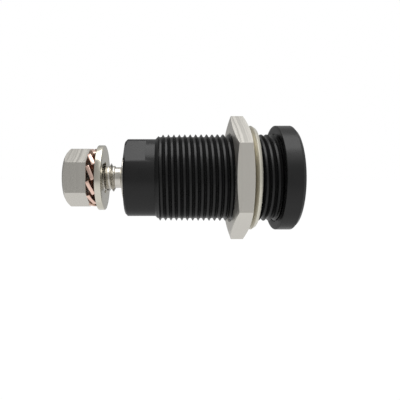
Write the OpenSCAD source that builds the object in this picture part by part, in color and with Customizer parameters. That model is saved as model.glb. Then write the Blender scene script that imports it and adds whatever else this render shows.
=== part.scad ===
// Panel mounted 4 mm safety banana socket with an M4 terminal stud.
// Frame: the origin is the centre of the flange's rear face, which seats on the panel.
// +X runs along the axis and out of the plug mouth, and +Z is up.

/* [Insulating body] */
// Width of the flange's seat on the panel, from the panel's hole to the flange's rim
seat_band = 1.1; // [0.9:0.05:2]
// Thickness of the flange
flange_t = 2.5; // [1.8:0.1:4]
// Chamfer on the flange's front edge
flange_chamfer = 0.45; // [0.1:0.05:0.6]
// Outside diameter of the body's thread
thread_d = 12; // [11.6:0.1:12.6]
// Pitch of the body's thread
thread_pitch = 0.75; // [0.5:0.05:1]
// Distance from the panel seat to the rear end of the thread
thread_len = 16.4; // [14:0.1:22]
// Plain neck between the panel seat and the first turn
neck_relief = 0.6; // [0.4:0.1:1.5]
// Depth of the undercut that the neck makes in the panel seat
seat_undercut = 0.15; // [0.05:0.05:0.4]
// Diameter of the plain rear end
rear_d = 10.7; // [10.2:0.1:11]
// Length of the plain rear end
rear_len = 4.1; // [3.4:0.1:8]
// Chamfer on the rear edge
rear_chamfer = 0.3; // [0.1:0.05:0.5]
// Distance across the two wrench flats
flats_af = 9.8; // [9:0.1:10]
// Length of the wrench flats
flats_len = 2.9; // [1.5:0.1:3.2]
// Turn of the wrench flats about the axis, from level to upward
flats_turn = 48; // [0:1:90]

/* [Plug well] */
// Diameter of the well that takes the plug's shroud
well_d = 8.2; // [7.8:0.1:9]
// Lead-in chamfer at the mouth of the well
mouth_chamfer = 0.4; // [0.1:0.05:0.8]
// Thickness of the wall behind the well
rear_wall = 3.2; // [2.4:0.1:5]

/* [Contact] */
// Outside diameter of the contact's tube and shank
contact_d = 6; // [5.6:0.1:6.6]
// Bore for the plug's pin
plug_d = 4; // [3.9:0.05:4.2]
// Depth of the plug's bore
plug_depth = 14.8; // [10:0.1:15.5]
// Lead-in chamfer at the mouth of the plug's bore
plug_chamfer = 0.35; // [0.1:0.05:0.6]
// Distance of the contact's tip behind the flange's front
contact_recess = 4.7; // [2:0.1:6]
// Thickness of the shoulder that seats on the well's floor
shoulder_t = 1; // [0.6:0.1:2]
// Distance by which the contact's collar stands out behind the body
collar_out = 0.4; // [0.3:0.05:1.5]

/* [Terminal stud] */
// Outside diameter of the stud's thread
stud_d = 4; // [3.6:0.1:4.4]
// Pitch of the stud's thread
stud_pitch = 0.7; // [0.5:0.05:0.8]
// Length of the stud behind the collar
stud_len = 7.55; // [6:0.05:12]
// Diameter of the undercut between the collar and the stud's thread
undercut_d = 2.9; // [2.4:0.1:3.1]
// Length of that undercut
undercut_len = 1.2; // [0.6:0.05:1.6]
// Chamfer on the end of the stud
stud_chamfer = 0.4; // [0.2:0.05:0.6]

/* [Panel nut and washer] */
// Space for the panel, from the flange to the washer
panel_space = 2.9; // [2.2:0.05:6]
// Distance by which the panel washer's rim lies inside the flange's rim
panel_washer_inset = 0; // [0:0.05:0.3]
// Thickness of the panel washer's sheet
panel_washer_t = 0.55; // [0.3:0.05:0.8]
// Angle of the panel washer's cone, which rises from its rim towards the nut
panel_washer_cone = 32; // [5:1:36]
// Gap by which the nut stands off the washer
panel_nut_gap = 0.07; // [0:0.01:0.9]
// Distance by which the panel nut's flats stand out past the flange's rim
panel_nut_over = 0.25; // [0.1:0.05:1]
// Thickness of the panel nut
panel_nut_t = 2.25; // [1.6:0.05:4]
// Distance of the panel nut's face circle inside its flats
panel_nut_inset = 0.1; // [0.05:0.05:0.4]
// Angle of the chamfer on both ends of the panel nut
panel_nut_bevel = 12.5; // [5:0.5:20]

/* [Terminal nut and washers] */
// Space for a ring terminal, from the collar to the flat washer
lug_space = 2.5; // [2.2:0.05:2.8]
// Diameter of the flat washer
flat_washer_d = 9; // [8:0.1:10]
// Thickness of the flat washer
flat_washer_t = 0.85; // [0.4:0.05:1.2]
// Diameter over the teeth of the lock washer
lock_washer_d = 8; // [7.4:0.1:8.8]
// Diameter of the lock washer's ring, where the teeth start
lock_ring_d = 6; // [5.2:0.1:6.2]
// Thickness of the lock washer's sheet
lock_sheet = 0.42; // [0.3:0.02:0.6]
// Number of teeth
tooth_count = 12; // [8:1:13]
// Width of a tooth at its tip
tooth_tip_w = 2; // [1:0.05:2.05]
// Width of a tooth at its root
tooth_root_w = 0.95; // [0.6:0.05:1.1]
// Angle by which a tooth's tip is twisted out of the ring
tooth_twist = 26; // [15:1:40]
// Turn of the first tooth about the axis, from level to upward
tooth_turn = 9.7; // [0:0.1:30]
// Distance across flats of the terminal nut
terminal_nut_af = 7; // [6.5:0.1:8]
// Thickness of the terminal nut
terminal_nut_t = 3.2; // [2.2:0.1:4]
// Distance of the terminal nut's face circle inside its flats
terminal_nut_inset = 0.3; // [0.05:0.05:0.5]
// Angle of the chamfer on the outer end of the terminal nut
terminal_nut_bevel = 30; // [15:1:35]

/* [Clearances] */
// Radial play of both nuts on their threads
thread_play = 0.05; // [0.02:0.01:0.1]
// Radial play of the panel's hole and the panel washer round the body's thread
panel_play = 0.1; // [0.05:0.01:0.3]
// Radial play of the terminal washers on the stud
washer_play = 0.15; // [0.08:0.01:0.3]
// Radial play of the contact in the body
contact_play = 0.02; // [0.01:0.01:0.05]
// Radial play of the contact's shoulder in the well
shoulder_play = 0.2; // [0.1:0.05:0.4]

/* [Hidden] */
$fn = 96;

// Sharp profile of a 60 degree thread, as shares of its pitch
flank_share = 0.3125;
crest_share = 0.125;
flank_slope = 1 / tan(30);

// Lengths along the axis, all behind the panel seat unless said otherwise
body_len = thread_len + rear_len;
well_floor = body_len - rear_wall;
contact_tip = contact_recess - flange_t;
collar_face = body_len + collar_out;
stud_end = collar_face + stud_len;
flat_washer_face = collar_face + lug_space;
lock_washer_face = flat_washer_face + flat_washer_t;
lock_washer_t = tooth_tip_w * sin(tooth_twist) + lock_sheet * cos(tooth_twist);
terminal_nut_face = lock_washer_face + lock_washer_t;

// Diameters that follow from the panel's hole and the seat round it
panel_hole_d = thread_d + 2 * panel_play;
flange_d = panel_hole_d + 2 * seat_band;
panel_washer_d = flange_d - 2 * panel_washer_inset;
panel_nut_af = flange_d + 2 * panel_nut_over;

// The panel washer's cone and the nut behind it
panel_washer_edge = panel_washer_t * sin(panel_washer_cone);
panel_washer_rise = (panel_washer_d / 2 - panel_hole_d / 2 - panel_washer_edge) * tan(panel_washer_cone);
panel_washer_height = panel_washer_t * cos(panel_washer_cone) + panel_washer_rise;
panel_nut_face = panel_space + panel_washer_height + panel_nut_gap;

// Countersink at both ends of a nut's bore
nut_countersink = 0.2;
// Length by which a cutting solid passes the face that it opens
overcut = 1;
// Depth by which a tooth's root is sunk into the lock washer's ring
tooth_root_sink = 0.3;
// Steps along the twist of a tooth
tooth_steps = 8;
// Corners of a tooth's section, as sides of its thickness and its width
tooth_corners = [[-1, -1], [1, -1], [1, 1], [-1, 1]];

plastic_black = [0.09, 0.09, 0.095];
nickel = [0.74, 0.73, 0.70];
bronze = [0.86, 0.64, 0.55];

// A solid turned about the X axis from [radius, x] points
module turned(points) {
    rotate([0, 90, 0])
        rotate_extrude()
            polygon(points);
}

function thread_depth(pitch) = flank_share * pitch * flank_slope;

// Radius allowed by the lead-in cone at a thread's end
function under_lead(radius, x, end_x, end_r) = min(radius, max(end_r, end_r + x - end_x));

// [radius, x] points of the turns, as rings, from start_x back to the lead-in cone at end_x
function thread_rings(diameter, pitch, start_x, end_x, end_r) =
    let (
        crest_r = diameter / 2,
        root_r = crest_r - thread_depth(pitch),
        turns = floor((start_x - end_x) / pitch)
    )
    [
        for (turn = [0 : turns - 1])
            let (
                foot = start_x - turn * pitch,
                crest_start = foot - flank_share * pitch,
                crest_end = crest_start - crest_share * pitch,
                heel = crest_end - flank_share * pitch
            )
            each [
                [under_lead(root_r, foot, end_x, end_r), foot],
                [under_lead(crest_r, crest_start, end_x, end_r), crest_start],
                [under_lead(crest_r, crest_end, end_x, end_r), crest_end],
                [under_lead(root_r, heel, end_x, end_r), heel],
            ]
    ];

// Two parallel flats across the rear end of the body
module wrench_flats() {
    for (side = [0, 180])
        rotate([side - flats_turn, 0, 0])
            translate([-body_len - overcut, flats_af / 2, -rear_d])
                cube([flats_len + overcut, rear_d, 2 * rear_d]);
}

// A hexagon nut with corners up and down, from x = 0 back to x = -thickness
module hex_nut(af, thickness, bore_d, face_inset, front_bevel, rear_bevel) {
    corner_r = af / 2 / cos(30);
    rim_r = corner_r + overcut;
    face_r = af / 2 - face_inset;
    front_drop = (rim_r - face_r) * tan(front_bevel);
    rear_drop = (rim_r - face_r) * tan(rear_bevel);
    bore_r = bore_d / 2;
    sink_r = bore_r + nut_countersink;
    difference() {
        intersection() {
            translate([-thickness, 0, 0])
                rotate([0, 90, 0])
                    cylinder(r = corner_r, h = thickness, $fn = 6);
            turned([
                [0, 0], [face_r, 0], [rim_r, -front_drop],
                [rim_r, rear_drop - thickness], [face_r, -thickness], [0, -thickness],
            ]);
        }
        turned([
            [0, overcut], [sink_r, overcut], [sink_r, 0], [bore_r, -nut_countersink],
            [bore_r, nut_countersink - thickness], [sink_r, -thickness],
            [sink_r, -thickness - overcut], [0, -thickness - overcut],
        ]);
    }
}

// A flat ring from x = 0 back to x = -thickness
module flat_ring(outer_d, hole_d, thickness) {
    turned([
        [hole_d / 2, 0], [outer_d / 2, 0],
        [outer_d / 2, -thickness], [hole_d / 2, -thickness],
    ]);
}

// Corners of a tooth's section at one step from its root to its tip, as [x, y, z] along +Y
function tooth_section(step) =
    let (
        share = step / tooth_steps,
        root_r = lock_ring_d / 2 - tooth_root_sink,
        reach = root_r + share * (lock_washer_d / 2 - root_r),
        half_w = (tooth_root_w + share * (tooth_tip_w - tooth_root_w)) / 2,
        half_t = lock_sheet / 2,
        twist = -share * tooth_twist
    )
    [
        for (corner = tooth_corners)
            let (x = corner[0] * half_t, z = corner[1] * half_w)
            [x * cos(twist) - z * sin(twist), reach, x * sin(twist) + z * cos(twist)]
    ];

// One tooth along +Y, widening from its root and twisted about its own length
module lock_tooth() {
    corners = len(tooth_corners);
    tip = corners * tooth_steps;
    polyhedron(
        points = [for (step = [0 : tooth_steps]) each tooth_section(step)],
        faces = concat(
            [[for (corner = [corners - 1 : -1 : 0]) corner]],
            [
                for (step = [0 : tooth_steps - 1], corner = [0 : corners - 1])
                    let (
                        a = corners * step + corner,
                        b = corners * step + (corner + 1) % corners
                    )
                    each [[a, b + corners, a + corners], [a, b, b + corners]]
            ],
            [[for (corner = [0 : corners - 1]) tip + corner]]
        )
    );
}

module insulating_body() {
    root_r = thread_d / 2 - thread_depth(thread_pitch);
    rear_r = rear_d / 2;
    well_r = well_d / 2;
    shank_hole_r = contact_d / 2 + contact_play;
    color(plastic_black)
        difference() {
            turned(concat(
                [
                    [well_r + mouth_chamfer, flange_t],
                    [flange_d / 2 - flange_chamfer, flange_t],
                    [flange_d / 2, flange_t - flange_chamfer],
                    [flange_d / 2, 0],
                    [panel_hole_d / 2, 0],
                    [panel_hole_d / 2, seat_undercut],
                    [root_r, seat_undercut],
                ],
                thread_rings(thread_d, thread_pitch, -neck_relief, -thread_len, rear_r),
                [
                    [rear_r, -thread_len],
                    [rear_r, rear_chamfer - body_len],
                    [rear_r - rear_chamfer, -body_len],
                    [shank_hole_r, -body_len],
                    [shank_hole_r, -well_floor],
                    [well_r, -well_floor],
                    [well_r, flange_t - mouth_chamfer],
                ]
            ));
            wrench_flats();
        }
}

module contact() {
    contact_r = contact_d / 2;
    plug_r = plug_d / 2;
    shoulder_r = well_d / 2 - shoulder_play;
    undercut_r = undercut_d / 2;
    stud_end_r = stud_d / 2 - stud_chamfer;
    thread_start = -collar_face - undercut_len;
    color(nickel)
        turned(concat(
            [
                [0, -contact_tip - plug_depth],
                [plug_r, -contact_tip - plug_depth],
                [plug_r, -contact_tip - plug_chamfer],
                [plug_r + plug_chamfer, -contact_tip],
                [contact_r, -contact_tip],
                [contact_r, shoulder_t - well_floor],
                [shoulder_r, shoulder_t - well_floor],
                [shoulder_r, -well_floor],
                [contact_r, -well_floor],
                [contact_r, -collar_face],
                [undercut_r, -collar_face],
                [undercut_r, thread_start],
            ],
            thread_rings(stud_d, stud_pitch, thread_start, -stud_end, stud_end_r),
            [
                [stud_end_r, -stud_end],
                [0, -stud_end],
            ]
        ));
}

module panel_nut() {
    color(nickel)
        translate([-panel_nut_face, 0, 0])
            hex_nut(
                panel_nut_af, panel_nut_t, thread_d + 2 * thread_play,
                panel_nut_inset, panel_nut_bevel, panel_nut_bevel
            );
}

// A conical spring washer, whose rim is square to its sheet
module panel_washer() {
    rim_r = panel_washer_d / 2;
    hole_r = panel_hole_d / 2;
    color(nickel)
        translate([-panel_space, 0, 0])
            turned([
                [hole_r, -panel_washer_rise],
                [rim_r - panel_washer_edge, 0],
                [rim_r, panel_washer_rise - panel_washer_height],
                [hole_r + panel_washer_edge, -panel_washer_height],
            ]);
}

module terminal_nut() {
    color(nickel)
        translate([-terminal_nut_face, 0, 0])
            hex_nut(
                terminal_nut_af, terminal_nut_t, stud_d + 2 * thread_play,
                terminal_nut_inset, 0, terminal_nut_bevel
            );
}

module tooth_lock_washer() {
    ring_inset = (lock_washer_t - lock_sheet) / 2;
    color(bronze)
        translate([-lock_washer_face, 0, 0])
            intersection() {
                union() {
                    translate([-ring_inset, 0, 0])
                        flat_ring(lock_ring_d, stud_d + 2 * washer_play, lock_sheet);
                    for (tooth = [0 : tooth_count - 1])
                        rotate([180 + tooth * 360 / tooth_count - tooth_turn, 0, 0])
                            translate([-lock_washer_t / 2, 0, 0])
                                lock_tooth();
                }
                translate([-lock_washer_t - overcut, 0, 0])
                    rotate([0, 90, 0])
                        cylinder(d = lock_washer_d, h = lock_washer_t + 2 * overcut);
            }
}

module flat_washer() {
    color(nickel)
        translate([-flat_washer_face, 0, 0])
            flat_ring(flat_washer_d, stud_d + 2 * washer_play, flat_washer_t);
}

insulating_body();
contact();
panel_nut();
panel_washer();
terminal_nut();
tooth_lock_washer();
flat_washer();
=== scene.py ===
"""Dresses a panel-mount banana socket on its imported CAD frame.

Every piece is rebuilt at the size and place of its CAD node, with true helical threads, broken edges
and procedural finishes, and stands in a plain white studio seen from the photograph's viewpoint.
"""

import logging
import math
from collections.abc import Callable, Sequence
from dataclasses import dataclass
from enum import Enum

import bmesh
import bpy
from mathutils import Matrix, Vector


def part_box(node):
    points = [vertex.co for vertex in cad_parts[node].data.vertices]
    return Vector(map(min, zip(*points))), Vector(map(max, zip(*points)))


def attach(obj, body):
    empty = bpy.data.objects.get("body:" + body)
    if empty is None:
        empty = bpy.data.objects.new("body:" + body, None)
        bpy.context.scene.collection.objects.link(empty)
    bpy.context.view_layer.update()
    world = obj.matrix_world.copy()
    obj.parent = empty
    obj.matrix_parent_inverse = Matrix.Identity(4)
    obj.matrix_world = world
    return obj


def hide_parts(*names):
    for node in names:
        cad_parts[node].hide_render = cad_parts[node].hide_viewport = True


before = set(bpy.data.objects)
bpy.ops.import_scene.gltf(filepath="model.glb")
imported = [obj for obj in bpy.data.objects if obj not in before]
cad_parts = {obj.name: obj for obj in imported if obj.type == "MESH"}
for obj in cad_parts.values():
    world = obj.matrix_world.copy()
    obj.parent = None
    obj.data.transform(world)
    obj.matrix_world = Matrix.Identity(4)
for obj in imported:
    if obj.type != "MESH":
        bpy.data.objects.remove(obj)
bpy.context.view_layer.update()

LOG = logging.getLogger("banana_socket")

MM = 0.001
FULL_TURN = 2 * math.pi
COLUMNS = 120
WELD_DISTANCE = 0.0005 * MM

# Profile of a 60 degree thread: crest as a share of the pitch, and rise of the flanks
CREST_SHARE = 0.03
FLANK_SLOPE = math.sqrt(3)

Radius = Callable[[float], float]
Ring = list[bmesh.types.BMVert]
Colour = tuple[float, float, float]
Point = tuple[float, float, float]
Span = tuple[float, float]


class NodeDesk:
    """Adds nodes to one node tree and links them."""

    def __init__(self, tree: bpy.types.NodeTree) -> None:
        """Starts work on a tree."""
        self.tree = tree

    def add(self, kind: str, **settings: object) -> bpy.types.Node:
        """Adds one node.

        Args:
            kind: Blender's type name of the node.
            settings: Values of the node's own properties.

        Returns:
            The new node.
        """
        node = self.tree.nodes.new(kind)
        for name, value in settings.items():
            setattr(node, name, value)
        return node

    def feed(self, socket: bpy.types.NodeSocket, value: object) -> None:
        """Links a socket to another one, or sets its value."""
        if isinstance(value, bpy.types.NodeSocket):
            self.tree.links.new(value, socket)
        else:
            socket.default_value = value

    def run(self, kind: str, inputs: dict[str, object], **settings: object) -> bpy.types.NodeSocket:
        """Adds one node and feeds its inputs.

        Args:
            kind: Blender's type name of the node.
            inputs: Sockets or values for its inputs, by name.
            settings: Values of the node's own properties.

        Returns:
            The node's first output.
        """
        node = self.add(kind, **settings)
        for name, value in inputs.items():
            self.feed(node.inputs[name], value)
        return node.outputs[0]

    def math(self, operation: str, *values: object) -> bpy.types.NodeSocket:
        """Adds a Math node.

        Args:
            operation: Name of the operation.
            values: Sockets or numbers for its inputs.

        Returns:
            The node's result.
        """
        node = self.add("ShaderNodeMath", operation=operation)
        for socket, value in zip(node.inputs, values):
            self.feed(socket, value)
        return node.outputs[0]

    def split(self, vector: bpy.types.NodeSocket) -> bpy.types.NodeOutputs:
        """The parts X, Y and Z of a vector."""
        node = self.add("ShaderNodeSeparateXYZ")
        self.feed(node.inputs[0], vector)
        return node.outputs

    def combine(self, **parts: object) -> bpy.types.NodeSocket:
        """A vector of the given parts X, Y and Z, where a part left out is 0."""
        return self.run("ShaderNodeCombineXYZ", parts)

    def reach(self, parts: bpy.types.NodeOutputs) -> bpy.types.NodeSocket:
        """Distance of a split point from the X axis."""
        squares = [self.math("POWER", parts[axis], 2.0) for axis in ("Y", "Z")]
        return self.math("SQRT", self.math("ADD", *squares))

    def remap(
        self, value: object, results: tuple[object, object], span: Span = (0.0, 1.0)
    ) -> bpy.types.NodeSocket:
        """Adds a Map Range node.

        Args:
            value: Socket to map.
            results: Results at the two ends of the span, as numbers or sockets.
            span: Values between which the result changes.

        Returns:
            The mapped value.
        """
        names = ("Value", "From Min", "From Max", "To Min", "To Max")
        return self.run("ShaderNodeMapRange", dict(zip(names, (value, *span, *results))))

    def blend(self, share: object, first: object, second: object) -> bpy.types.NodeSocket:
        """Adds a colour Mix node.

        Args:
            share: Share of the second colour.
            first: Colour at share 0.
            second: Colour at share 1.

        Returns:
            The mixed colour.
        """
        node = self.add("ShaderNodeMix", data_type="RGBA")
        colours = [socket for socket in node.inputs if socket.type == "RGBA"]
        for socket, value in zip((node.inputs[0], *colours), (share, first, second)):
            self.feed(socket, value)
        return next(socket for socket in node.outputs if socket.type == "RGBA")

    def inputs(self, kind: str, *names: str) -> None:
        """Adds named inputs of one kind to a node group."""
        for name in names:
            self.tree.interface.new_socket(name=name, in_out="INPUT", socket_type=kind)

    def outputs(self, kind: str, *names: str) -> None:
        """Adds named outputs of one kind to a node group."""
        for name in names:
            self.tree.interface.new_socket(name=name, in_out="OUTPUT", socket_type=kind)

    def dress(self, geometry: bpy.types.NodeSocket, material: bpy.types.NodeSocket) -> None:
        """Ends a geometry tree: merges points that coincide and sets the material."""
        merged = self.run("GeometryNodeMergeByDistance", {"Geometry": geometry, "Distance": WELD_DISTANCE})
        dressed = self.run("GeometryNodeSetMaterial", {"Geometry": merged, "Material": material})
        self.feed(self.add("NodeGroupOutput").inputs["Geometry"], dressed)


def shared_tree(name: str, kind: str, fill: Callable[[NodeDesk], None]) -> bpy.types.NodeTree:
    """Builds a node tree, or finds the one that was built before.

    Args:
        name: Name of the tree.
        kind: Blender's type name of the tree.
        fill: Adds the tree's sockets and nodes.

    Returns:
        The tree.
    """
    if name not in bpy.data.node_groups:
        fill(NodeDesk(bpy.data.node_groups.new(name, kind)))
    return bpy.data.node_groups[name]


@dataclass(frozen=True)
class Corner:
    """One corner of a turned outline, with the radius that breaks its edge."""

    x: float
    r: float
    broken: float = 0.0


def rounded(corners: Sequence[Corner], steps: int = 3) -> list[Span]:
    """Rounds the corners of an open outline.

    Args:
        corners: Corners in order along the outline.
        steps: Number of chords in each rounded corner.

    Returns:
        Points (x, r) of the rounded outline.
    """
    points: list[Span] = []
    last = len(corners) - 1
    for place, corner in enumerate(corners):
        here = Vector((corner.x, corner.r))
        if not corner.broken or place in (0, last):
            points.append((here.x, here.y))
            continue
        before = Vector((corners[place - 1].x, corners[place - 1].r)) - here
        after = Vector((corners[place + 1].x, corners[place + 1].r)) - here
        opening = before.angle(after)
        reach = corner.broken / math.tan(opening / 2)
        start = here + before.normalized() * reach
        end = here + after.normalized() * reach
        middle = (before.normalized() + after.normalized()).normalized()
        centre = here + middle * (corner.broken / math.sin(opening / 2))
        sweep = math.pi - opening
        for step in range(steps + 1):
            share = step / steps
            left = math.sin((1 - share) * sweep) / math.sin(sweep)
            right = math.sin(share * sweep) / math.sin(sweep)
            point = centre + (start - centre) * left + (end - centre) * right
            points.append((point.x, point.y))
    return points


class Skin:
    """A mesh of rings about the X axis, all with the same number of columns."""

    def __init__(self) -> None:
        """Starts an empty mesh."""
        self.mesh = bmesh.new()

    @staticmethod
    def angles() -> list[float]:
        """Angles of the columns, from +Y towards +Z."""
        return [FULL_TURN * column / COLUMNS for column in range(COLUMNS)]

    def ring(
        self, x: float | Radius, radius: float | Radius, angles: Sequence[float] | None = None
    ) -> Ring:
        """Adds one ring of points.

        Args:
            x: Place along the axis, or a function of the column's angle.
            radius: Radius, or a function of the column's angle.
            angles: Angles of the columns, where they aren't even.

        Returns:
            The ring's vertices.
        """
        vertices = []
        for angle in angles or self.angles():
            here_x = x(angle) if callable(x) else x
            here_r = radius(angle) if callable(radius) else radius
            place = (here_x, here_r * math.cos(angle), here_r * math.sin(angle))
            vertices.append(self.mesh.verts.new(place))
        return vertices

    def join(self, rings: Sequence[Ring]) -> None:
        """Joins each ring to the next one with faces."""
        for near, far in zip(rings, rings[1:]):
            for column in range(COLUMNS):
                after = (column + 1) % COLUMNS
                self.mesh.faces.new((near[column], near[after], far[after], far[column]))

    def close(self, ring: Ring, x: float) -> None:
        """Closes a ring with a fan to a point on the axis."""
        pole = self.mesh.verts.new((x, 0, 0))
        for column in range(COLUMNS):
            self.mesh.faces.new((ring[column], ring[(column + 1) % COLUMNS], pole))

    def turn(self, outline: Sequence[Span]) -> list[Ring]:
        """Turns an outline into joined rings.

        Args:
            outline: Points (x, r) in order.

        Returns:
            The rings, in the outline's order.
        """
        rings = [self.ring(x, r) for x, r in outline]
        self.join(rings)
        return rings

    def take(self, other: bpy.types.Mesh) -> None:
        """Adds the faces of a mesh and drops that mesh."""
        self.mesh.from_mesh(other)
        bpy.data.meshes.remove(other)

    def weld(self) -> None:
        """Merges points that coincide and turns every face outwards."""
        bmesh.ops.remove_doubles(self.mesh, verts=self.mesh.verts, dist=WELD_DISTANCE)
        bmesh.ops.dissolve_degenerate(self.mesh, edges=self.mesh.edges, dist=WELD_DISTANCE)
        bmesh.ops.recalc_face_normals(self.mesh, faces=self.mesh.faces)

    def piece(self, name: str, material: bpy.types.Material, crease: float = 38.0) -> bpy.types.Object:
        """Turns the mesh into a finished object.

        Args:
            name: Name of the piece.
            material: Its finish.
            crease: Angle in degrees above which an edge is shaded sharp.

        Returns:
            The object, at the origin.
        """
        self.weld()
        mesh = bpy.data.meshes.new(name)
        self.mesh.to_mesh(mesh)
        self.mesh.free()
        mesh.materials.append(material)
        return finished(name, mesh, crease)


def evaluated_mesh(piece: bpy.types.Object) -> bpy.types.Mesh:
    """Makes a plain mesh of an object with its modifiers."""
    graph = bpy.context.evaluated_depsgraph_get()
    return bpy.data.meshes.new_from_object(piece.evaluated_get(graph))


def finished(name: str, mesh: bpy.types.Mesh, crease: float) -> bpy.types.Object:
    """Shades a mesh smooth, with flat faces kept flat, and makes it an object.

    Args:
        name: Name of the object.
        mesh: Its faces.
        crease: Angle in degrees above which an edge is shaded sharp.

    Returns:
        The object, in the scene and at the origin.
    """
    mesh.shade_smooth()
    mesh.set_sharp_from_angle(angle=math.radians(crease))
    draft = bpy.data.objects.new(name + "_draft", mesh)
    bpy.context.scene.collection.objects.link(draft)
    weighted = draft.modifiers.new("flat_faces", "WEIGHTED_NORMAL")
    weighted.keep_sharp = True
    final = evaluated_mesh(draft)
    final.name = name
    bpy.data.objects.remove(draft)
    bpy.data.meshes.remove(mesh)
    piece = bpy.data.objects.new(name, final)
    bpy.context.scene.collection.objects.link(piece)
    return piece


class ThreadSide(Enum):
    """Whether a thread stands out on a shaft or lies in a nut's bore."""

    SHAFT = 1
    BORE = -1


@dataclass(frozen=True)
class Thread:
    """A right-hand 60 degree thread about the X axis, whose turns are placed by Geometry Nodes."""

    pitch: float
    crest_radius: float
    crest_at_level: float
    crest_rounding: float
    root_rounding: float
    depth: float

    ROWS = 20

    def root_radius(self) -> float:
        """Radius at the root of the thread."""
        return self.crest_radius - self.depth

    @staticmethod
    def fill_tree(desk: NodeDesk) -> None:
        """Fills the tree that makes one turn, repeats it along the axis and runs it out at both ends.

        Args:
            desk: Desk on the empty tree.
        """
        desk.outputs("NodeSocketGeometry", "Geometry")
        desk.inputs("NodeSocketInt", "Columns", "Rows", "Turns")
        desk.inputs(
            "NodeSocketFloat", "Pitch", "Crest Radius", "Root Radius", "Crest Width", "Crest Rounding",
            "Root Rounding", "First Crest", "Side", "Front X", "Front Radius", "Front Slope",
            "Rear X", "Rear Radius", "Rear Slope",
        )
        desk.inputs("NodeSocketMaterial", "Material")
        given = desk.add("NodeGroupInput").outputs

        # One turn, unrolled on a unit grid: X is the share of the turn and Y runs across the crest
        grid = desk.run("GeometryNodeMeshGrid", {
            "Size X": 1.0,
            "Size Y": 1.0,
            "Vertices X": desk.math("ADD", given["Columns"], 1),
            "Vertices Y": desk.math("ADD", given["Rows"], 1),
        })
        flat = desk.split(desk.add("GeometryNodeInputPosition").outputs[0])
        turn = desk.math("ADD", flat["X"], 0.5)
        angle = desk.math("MULTIPLY", turn, FULL_TURN)
        off_crest = desk.math("MULTIPLY", desk.math("ABSOLUTE", flat["Y"]), given["Pitch"])
        down_flank = desk.math("SUBTRACT", off_crest, desk.math("MULTIPLY", given["Crest Width"], 0.5))
        flank = desk.math("SUBTRACT", given["Crest Radius"], desk.math("MULTIPLY", down_flank, FLANK_SLOPE))
        topped = desk.math("SMOOTH_MIN", flank, given["Crest Radius"], given["Crest Rounding"])
        radius = desk.math("SMOOTH_MAX", topped, given["Root Radius"], given["Root Rounding"])
        rolled = desk.combine(
            X=desk.math("MULTIPLY", desk.math("ADD", turn, flat["Y"]), given["Pitch"]),
            Y=desk.math("MULTIPLY", radius, desk.math("COSINE", angle)),
            Z=desk.math("MULTIPLY", radius, desk.math("SINE", angle)),
        )
        one_turn = desk.run("GeometryNodeSetPosition", {"Geometry": grid, "Position": rolled})

        # The turn repeated along the axis
        line = {
            "Count": given["Turns"],
            "Start Location": desk.combine(X=given["First Crest"]),
            "Offset": desk.combine(X=given["Pitch"]),
        }
        points = desk.run("GeometryNodeMeshLine", line, mode="OFFSET")
        repeated = desk.run("GeometryNodeInstanceOnPoints", {"Points": points, "Instance": one_turn})
        realized = desk.run("GeometryNodeRealizeInstances", {"Geometry": repeated})

        # Both ends cut square and run out in a cone, which opens the other way in a bore
        place = desk.split(desk.add("GeometryNodeInputPosition").outputs[0])
        reach = desk.reach(place)
        cut = desk.math("MAXIMUM", desk.math("MINIMUM", place["X"], given["Front X"]), given["Rear X"])
        insets = {
            "Front": desk.math("SUBTRACT", given["Front X"], cut),
            "Rear": desk.math("SUBTRACT", cut, given["Rear X"]),
        }
        held = desk.math("MULTIPLY", reach, given["Side"])
        for end, inset in insets.items():
            rise = desk.math("MULTIPLY", inset, given[end + " Slope"])
            cone = desk.math("MULTIPLY_ADD", given[end + " Radius"], given["Side"], rise)
            held = desk.math("MINIMUM", held, cone)
        scale = desk.math("DIVIDE", desk.math("MULTIPLY", held, given["Side"]), reach)
        ended = desk.combine(
            X=cut, Y=desk.math("MULTIPLY", place["Y"], scale), Z=desk.math("MULTIPLY", place["Z"], scale),
        )
        shaped = desk.run("GeometryNodeSetPosition", {"Geometry": realized, "Position": ended})
        desk.dress(shaped, given["Material"])

    def skin(
        self, front: Corner, rear: Corner, slopes: Span, material: bpy.types.Material,
        side: ThreadSide = ThreadSide.SHAFT, play: float = 0.0,
    ) -> bpy.types.Mesh:
        """Makes the skin of the thread between two rings.

        Args:
            front: Place and radius of the ring at the +X end.
            rear: Place and radius of the ring at the -X end.
            slopes: Rise of the run-out cone at the front and at the rear, per unit of length.
            material: Finish of the piece that has the thread.
            side: Whether it is a shaft's thread or a bore's.
            play: Distance by which the skin stands off the nominal thread.

        Returns:
            A plain mesh, open at both rings.
        """
        half = 0.5 * self.pitch
        first = self.crest_at_level
        first += self.pitch * math.floor((rear.x - half - first) / self.pitch)
        turns = math.ceil((front.x - first - half) / self.pitch) + 1
        sizes = {
            "Columns": COLUMNS,
            "Rows": self.ROWS,
            "Turns": turns,
            "Pitch": self.pitch,
            "Crest Radius": self.crest_radius + play,
            "Root Radius": self.root_radius() + play,
            "Crest Width": CREST_SHARE * self.pitch,
            "Crest Rounding": self.crest_rounding,
            "Root Rounding": self.root_rounding,
            "First Crest": first,
            "Side": float(side.value),
            "Front X": front.x,
            "Front Radius": front.r,
            "Front Slope": slopes[0],
            "Rear X": rear.x,
            "Rear Radius": rear.r,
            "Rear Slope": slopes[1],
            "Material": material,
        }
        tree = shared_tree("helical_thread", "GeometryNodeTree", self.fill_tree)
        return mesh_from_tree(bpy.data.meshes.new("thread"), tree, sizes)


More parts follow.
